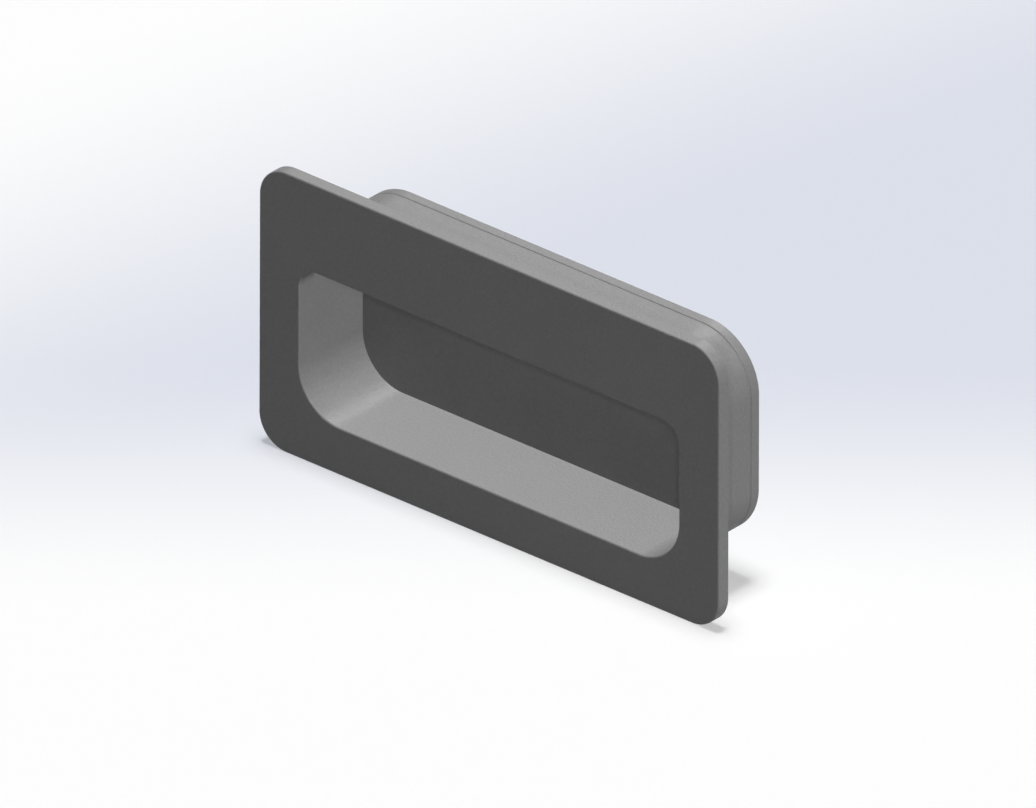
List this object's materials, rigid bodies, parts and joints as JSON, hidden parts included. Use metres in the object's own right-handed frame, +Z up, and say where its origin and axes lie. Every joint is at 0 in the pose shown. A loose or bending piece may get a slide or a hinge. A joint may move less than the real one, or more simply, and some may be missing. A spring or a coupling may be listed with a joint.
{
  "type": "recessed pull handle",
  "caption": "Flush recessed pull handle: a rounded rectangular flange round a shallow finger pocket with a hanging lip, closed behind by a flat plate.",
  "frame": {"origin": "middle of the panel cut-out, in the panel's front surface, where the flange's back face sits", "axes": "+Y goes into the panel, from the front face to the back plate; +Z is up, with the finger lip at the top of the pocket; +X runs along the handle"},
  "size_m": [0.103, 0.0187, 0.054],
  "materials": {
    "handle_body": "dark grey moulded plastic with a fine matte grain",
    "back_plate": "dark grey moulded plastic with a fine matte grain"
  },
  "bodies": {
    "root": {"handle_body": "handle_body", "back_plate": "back_plate"}
  },
  "joints": []
}
